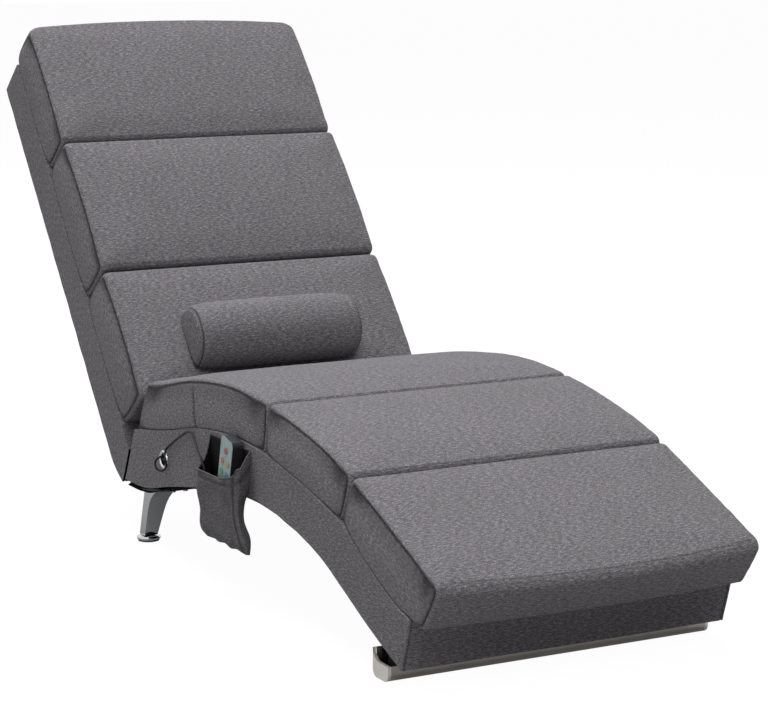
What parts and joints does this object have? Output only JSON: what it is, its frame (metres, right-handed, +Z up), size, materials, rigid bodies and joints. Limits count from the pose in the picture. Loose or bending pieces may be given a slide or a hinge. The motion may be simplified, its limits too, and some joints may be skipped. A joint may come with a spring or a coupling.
{
  "type": "massage recliner",
  "caption": "S-shaped massage chaise: padded foot, knee and seat cushions on an arched base, a reclined padded back, chromed legs, a loose lumbar bolster and a handset in a side pocket.",
  "frame": {"origin": "on the floor, under the middle of the outer box", "axes": "+Y from the foot end to the back, +Z up, +X across the seat to the sitter's left; the pocket is on the -X side"},
  "size_m": [0.58, 1.666, 0.8757],
  "materials": {
    "plywood": "raw",
    "cover_cloth": "woven",
    "cushion_cloth": "woven suede-like cloth",
    "dust_cloth": "non-woven",
    "foam": "open-cell foam",
    "chromed_steel": "polished",
    "zinc_steel": "satin",
    "black_rubber": "matte",
    "black_plastic": "matte",
    "grey_plastic": "matte",
    "brass_weight": "turned",
    "circuit_board": "matte",
    "handset_shell": "satin",
    "key_red": "satin",
    "key_amber": "satin",
    "key_coral": "satin",
    "key_blue": "satin",
    "key_green": "satin",
    "heater_mat": "matte"
  },
  "bodies": {
    "recliner": {"base_side_panels": "plywood", "base_rails": "plywood", "base_deck": "plywood", "base_cover": "cover_cloth", "base_dust_cover": "dust_cloth", "seat_foam": "foam", "seat_cushion": "cushion_cloth", "knee_foam": "foam", "knee_cushion": "cushion_cloth", "foot_foam": "foam", "foot_cushion": "cushion_cloth", "back_side_panels": "plywood", "back_rails": "plywood", "back_deck": "plywood", "back_cover": "cover_cloth", "lumbar_foam": "foam", "lumbar_cushion": "cushion_cloth", "middle_foam": "foam", "middle_cushion": "cushion_cloth", "head_foam": "foam", "head_cushion": "cushion_cloth", "heater_pad": "heater_mat", "seat_brackets": "zinc_steel", "back_brackets": "zinc_steel", "bracket_screws": "zinc_steel", "rear_legs": "chromed_steel", "leg_plates": "chromed_steel", "leg_screws": "zinc_steel", "foot_discs": "chromed_steel", "foot_pads": "black_rubber", "front_channel": "chromed_steel", "channel_ends": "chromed_steel", "channel_blocks": "black_plastic", "channel_screws": "zinc_steel", "motor_trays": "black_plastic", "motor_lids": "grey_plastic", "motor_cans": "zinc_steel", "control_tray": "black_plastic", "control_lid": "grey_plastic", "control_board": "circuit_board", "power_inlet": "black_plastic", "motor_wiring": "black_rubber", "port_ring": "chromed_steel", "port_insert": "black_plastic", "handset_lead": "black_rubber", "side_pocket": "cover_cloth"},
    "handset": {"handset_back": "black_plastic", "handset_front": "handset_shell", "handset_board": "circuit_board"},
    "power_key": {"power_key": "key_red"},
    "mode_key": {"mode_key": "key_amber"},
    "heat_key": {"heat_key": "key_coral"},
    "level_key": {"level_key": "key_blue"},
    "timer_key": {"timer_key": "key_green"},
    "calf_rotor": {"calf_rotor": "brass_weight"},
    "thigh_rotor": {"thigh_rotor": "brass_weight"},
    "lumbar_rotor": {"lumbar_rotor": "brass_weight"},
    "middle_rotor": {"middle_rotor": "brass_weight"},
    "neck_rotor": {"neck_rotor": "brass_weight"},
    "bolster": {"lumbar_bolster": "cushion_cloth"}
  },
  "joints": [
    {"name": "calf_rotor_spin", "type": "hinge", "parent": "recliner", "child": "calf_rotor", "pos_m": [0.015, -0.62967, 0.16991], "axis": [1, 0, 0], "continuous": true},
    {"name": "thigh_rotor_spin", "type": "hinge", "parent": "recliner", "child": "thigh_rotor", "pos_m": [0.015, -0.37484, 0.25777], "axis": [1, 0, 0], "continuous": true},
    {"name": "lumbar_rotor_spin", "type": "hinge", "parent": "recliner", "child": "lumbar_rotor", "pos_m": [0.015, 0.35496, 0.30836], "axis": [1, 0, 0], "continuous": true},
    {"name": "middle_rotor_spin", "type": "hinge", "parent": "recliner", "child": "middle_rotor", "pos_m": [0.015, 0.52167, 0.51645], "axis": [1, 0, 0], "continuous": true},
    {"name": "neck_rotor_spin", "type": "hinge", "parent": "recliner", "child": "neck_rotor", "pos_m": [0.015, 0.68171, 0.7162], "axis": [1, 0, 0], "continuous": true},
    {"name": "handset_lift", "type": "slide", "parent": "recliner", "child": "handset", "axis": [0, -0.225, 0.9744], "range_m": [0, 0.1]},
    {"name": "power_key_press", "type": "slide", "parent": "handset", "child": "power_key", "axis": [1, 0, 0], "range_m": [0, 0.001], "stiffness_N_per_m": 300, "springref_m": -0.001},
    {"name": "mode_key_press", "type": "slide", "parent": "handset", "child": "mode_key", "axis": [1, 0, 0], "range_m": [0, 0.001], "stiffness_N_per_m": 300, "springref_m": -0.001},
    {"name": "heat_key_press", "type": "slide", "parent": "handset", "child": "heat_key", "axis": [1, 0, 0], "range_m": [0, 0.001], "stiffness_N_per_m": 300, "springref_m": -0.001},
    {"name": "level_key_press", "type": "slide", "parent": "handset", "child": "level_key", "axis": [1, 0, 0], "range_m": [0, 0.001], "stiffness_N_per_m": 300, "springref_m": -0.001},
    {"name": "timer_key_press", "type": "slide", "parent": "handset", "child": "timer_key", "axis": [1, 0, 0], "range_m": [0, 0.001], "stiffness_N_per_m": 300, "springref_m": -0.001},
    {"name": "bolster_lift", "type": "slide", "parent": "recliner", "child": "bolster", "axis": [0, 0.6252, 0.7804], "range_m": [0, 0.15]}
  ]
}
